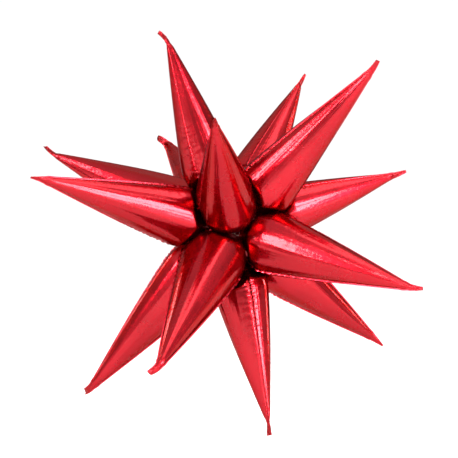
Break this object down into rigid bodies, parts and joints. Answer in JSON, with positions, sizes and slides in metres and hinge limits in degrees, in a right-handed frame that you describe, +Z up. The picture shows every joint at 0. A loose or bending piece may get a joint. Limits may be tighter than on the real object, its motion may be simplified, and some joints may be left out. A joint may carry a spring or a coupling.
{
  "type": "foil starburst decoration",
  "caption": "Inflated foil starburst: long water-drop points threaded by their base tabs on one drawn-up tie cord, for hanging as a party decoration.",
  "frame": {"origin": "the centre of the star, where the tie cord draws all the tabs together and a hanging line is tied", "axes": "+Z up and -Y towards the viewer, as the star is seen in its picture"},
  "size_m": [0.5785, 0.5872, 0.6112],
  "materials": {
    "foil": "metallised film, mirror-bright with fine creases; the colour may be changed",
    "valve_film": "clear limp film",
    "cotton_cord": "matt twisted cotton"
  },
  "bodies": {
    "core": {"tie_cord": "cotton_cord", "tie_knot": "cotton_cord"},
    "tab_01": {"point_01_tab": "foil"},
    "point_01": {"point_01_front_film": "foil", "point_01_back_film": "foil", "point_01_valve": "valve_film"},
    "tab_02": {"point_02_tab": "foil"},
    "point_02": {"point_02_front_film": "foil", "point_02_back_film": "foil", "point_02_valve": "valve_film"},
    "tab_03": {"point_03_tab": "foil"},
    "point_03": {"point_03_front_film": "foil", "point_03_back_film": "foil", "point_03_valve": "valve_film"},
    "tab_04": {"point_04_tab": "foil"},
    "point_04": {"point_04_front_film": "foil", "point_04_back_film": "foil", "point_04_valve": "valve_film"},
    "tab_05": {"point_05_tab": "foil"},
    "point_05": {"point_05_front_film": "foil", "point_05_back_film": "foil", "point_05_valve": "valve_film"},
    "tab_06": {"point_06_tab": "foil"},
    "point_06": {"point_06_front_film": "foil", "point_06_back_film": "foil", "point_06_valve": "valve_film"},
    "tab_07": {"point_07_tab": "foil"},
    "point_07": {"point_07_front_film": "foil", "point_07_back_film": "foil", "point_07_valve": "valve_film"},
    "tab_08": {"point_08_tab": "foil"},
    "point_08": {"point_08_front_film": "foil", "point_08_back_film": "foil", "point_08_valve": "valve_film"},
    "tab_09": {"point_09_tab": "foil"},
    "point_09": {"point_09_front_film": "foil", "point_09_back_film": "foil", "point_09_valve": "valve_film"},
    "tab_10": {"point_10_tab": "foil"},
    "point_10": {"point_10_front_film": "foil", "point_10_back_film": "foil", "point_10_valve": "valve_film"},
    "tab_11": {"point_11_tab": "foil"},
    "point_11": {"point_11_front_film": "foil", "point_11_back_film": "foil", "point_11_valve": "valve_film"},
    "tab_12": {"point_12_tab": "foil"},
    "point_12": {"point_12_front_film": "foil", "point_12_back_film": "foil", "point_12_valve": "valve_film"},
    "tab_13": {"point_13_tab": "foil"},
    "point_13": {"point_13_front_film": "foil", "point_13_back_film": "foil", "point_13_valve": "valve_film"},
    "tab_14": {"point_14_tab": "foil"},
    "point_14": {"point_14_front_film": "foil", "point_14_back_film": "foil", "point_14_valve": "valve_film"}
  },
  "joints": [
    {"name": "point_01_rock", "type": "hinge", "parent": "core", "child": "tab_01", "pos_m": [-0.00531, -0.00334, 0.01634], "axis": [0.6596, 0.665, 0.3502], "range_deg": [-0.6, 0.6]},
    {"name": "point_01_twist", "type": "hinge", "parent": "tab_01", "child": "point_01", "pos_m": [-0.01638, -0.0103, 0.05041], "axis": [-0.3033, -0.1908, 0.9336], "range_deg": [-15, 15]},
    {"name": "point_02_rock", "type": "hinge", "parent": "core", "child": "tab_02", "pos_m": [0.01114, -0.00541, 0.01237], "axis": [0.7593, 0.4122, -0.5035], "range_deg": [-0.6, 0.6]},
    {"name": "point_02_twist", "type": "hinge", "parent": "tab_02", "child": "point_02", "pos_m": [0.03118, -0.01514, 0.03463], "axis": [0.6364, -0.309, 0.7068], "range_deg": [-15, 15]},
    {"name": "point_03_rock", "type": "hinge", "parent": "core", "child": "tab_03", "pos_m": [0.01483, -0.00795, -0.00482], "axis": [-0.4702, -0.8825, 0.0081], "range_deg": [-0.6, 0.6]},
    {"name": "point_03_twist", "type": "hinge", "parent": "tab_03", "child": "point_03", "pos_m": [0.02542, -0.01362, -0.00826], "axis": [0.8474, -0.454, -0.2753], "range_deg": [-15, 15]},
    {"name": "point_04_rock", "type": "hinge", "parent": "core", "child": "tab_04", "pos_m": [0.00344, -0.00304, -0.01689], "axis": [-0.3371, 0.9123, -0.2327], "range_deg": [-0.6, 0.6]},
    {"name": "point_04_twist", "type": "hinge", "parent": "tab_04", "child": "point_04", "pos_m": [0.00982, -0.00868, -0.04825], "axis": [0.1963, -0.1736, -0.965], "range_deg": [-15, 15]},
    {"name": "point_05_rock", "type": "hinge", "parent": "core", "child": "tab_05", "pos_m": [-0.01146, 0.00092, -0.01319], "axis": [-0.7211, 0.2542, 0.6445], "range_deg": [-0.6, 0.6]},
    {"name": "point_05_twist", "type": "hinge", "parent": "tab_05", "child": "point_05", "pos_m": [-0.03276, 0.00262, -0.03768], "axis": [-0.6552, 0.0523, -0.7537], "range_deg": [-15, 15]},
    {"name": "point_06_rock", "type": "hinge", "parent": "core", "child": "tab_06", "pos_m": [-0.00532, -0.013, -0.01043], "axis": [-0.326, 0.6691, -0.6679], "range_deg": [-0.6, 0.6]},
    {"name": "point_06_twist", "type": "hinge", "parent": "tab_06", "child": "point_06", "pos_m": [-0.00972, -0.02378, -0.01908], "axis": [-0.3038, -0.7431, -0.5962], "range_deg": [-15, 15]},
    {"name": "point_07_rock", "type": "hinge", "parent": "core", "child": "tab_07", "pos_m": [-0.00122, -0.01516, 0.00867], "axis": [0.5179, 0.3928, 0.7599], "range_deg": [-0.6, 0.6]},
    {"name": "point_07_twist", "type": "hinge", "parent": "tab_07", "child": "point_07", "pos_m": [-0.00209, -0.02598, 0.01485], "axis": [-0.0696, -0.866, 0.4951], "range_deg": [-15, 15]},
    {"name": "point_08_rock", "type": "hinge", "parent": "core", "child": "tab_08", "pos_m": [-0.01401, -0.00979, 0.00376], "axis": [0.5854, -0.8064, 0.0833], "range_deg": [-0.6, 0.6]},
    {"name": "point_08_twist", "type": "hinge", "parent": "tab_08", "child": "point_08", "pos_m": [-0.03844, -0.02684, 0.0103], "axis": [-0.8008, -0.5592, 0.2146], "range_deg": [-15, 15]},
    {"name": "point_09_rock", "type": "hinge", "parent": "core", "child": "tab_09", "pos_m": [-0.01556, 0.00453, 0.0066], "axis": [0.0499, -0.7649, 0.6422], "range_deg": [-0.6, 0.6]},
    {"name": "point_09_twist", "type": "hinge", "parent": "tab_09", "child": "point_09", "pos_m": [-0.04623, 0.01346, 0.01963], "axis": [-0.8891, 0.2588, 0.3774], "range_deg": [-15, 15]},
    {"name": "point_10_rock", "type": "hinge", "parent": "core", "child": "tab_10", "pos_m": [0.00643, 0.00953, 0.01319], "axis": [-0.9002, 0.4118, 0.1415], "range_deg": [-0.6, 0.6]},
    {"name": "point_10_twist", "type": "hinge", "parent": "tab_10", "child": "point_10", "pos_m": [0.02096, 0.03104, 0.04297], "axis": [0.3676, 0.5446, 0.7538], "range_deg": [-15, 15]},
    {"name": "point_11_rock", "type": "hinge", "parent": "core", "child": "tab_11", "pos_m": [0.01592, 0.00512, 0.00517], "axis": [-0.3246, 0.9436, 0.0655], "range_deg": [-0.6, 0.6]},
    {"name": "point_11_twist", "type": "hinge", "parent": "tab_11", "child": "point_11", "pos_m": [0.04911, 0.01579, 0.01596], "axis": [0.9095, 0.2924, 0.2955], "range_deg": [-15, 15]},
    {"name": "point_12_rock", "type": "hinge", "parent": "core", "child": "tab_12", "pos_m": [0.01296, 0.00656, -0.00976], "axis": [0.404, -0.9116, -0.0759], "range_deg": [-0.6, 0.6]},
    {"name": "point_12_twist", "type": "hinge", "parent": "tab_12", "child": "point_12", "pos_m": [0.03925, 0.01985, -0.02957], "axis": [0.7405, 0.3746, -0.558], "range_deg": [-15, 15]},
    {"name": "point_13_rock", "type": "hinge", "parent": "core", "child": "tab_13", "pos_m": [-0.0056, 0.01468, 0.00771], "axis": [-0.1497, 0.4145, -0.8977], "range_deg": [-0.6, 0.6]},
    {"name": "point_13_twist", "type": "hinge", "parent": "tab_13", "child": "point_13", "pos_m": [-0.01312, 0.03438, 0.01807], "axis": [-0.3201, 0.8387, 0.4406], "range_deg": [-15, 15]},
    {"name": "point_14_rock", "type": "hinge", "parent": "core", "child": "tab_14", "pos_m": [0.00438, 0.01664, -0.00318], "axis": [0.6932, -0.3068, -0.6521], "range_deg": [-0.6, 0.6]},
    {"name": "point_14_twist", "type": "hinge", "parent": "tab_14", "child": "point_14", "pos_m": [0.01025, 0.03899, -0.00745], "axis": [0.25, 0.9511, -0.1816], "range_deg": [-15, 15]}
  ]
}
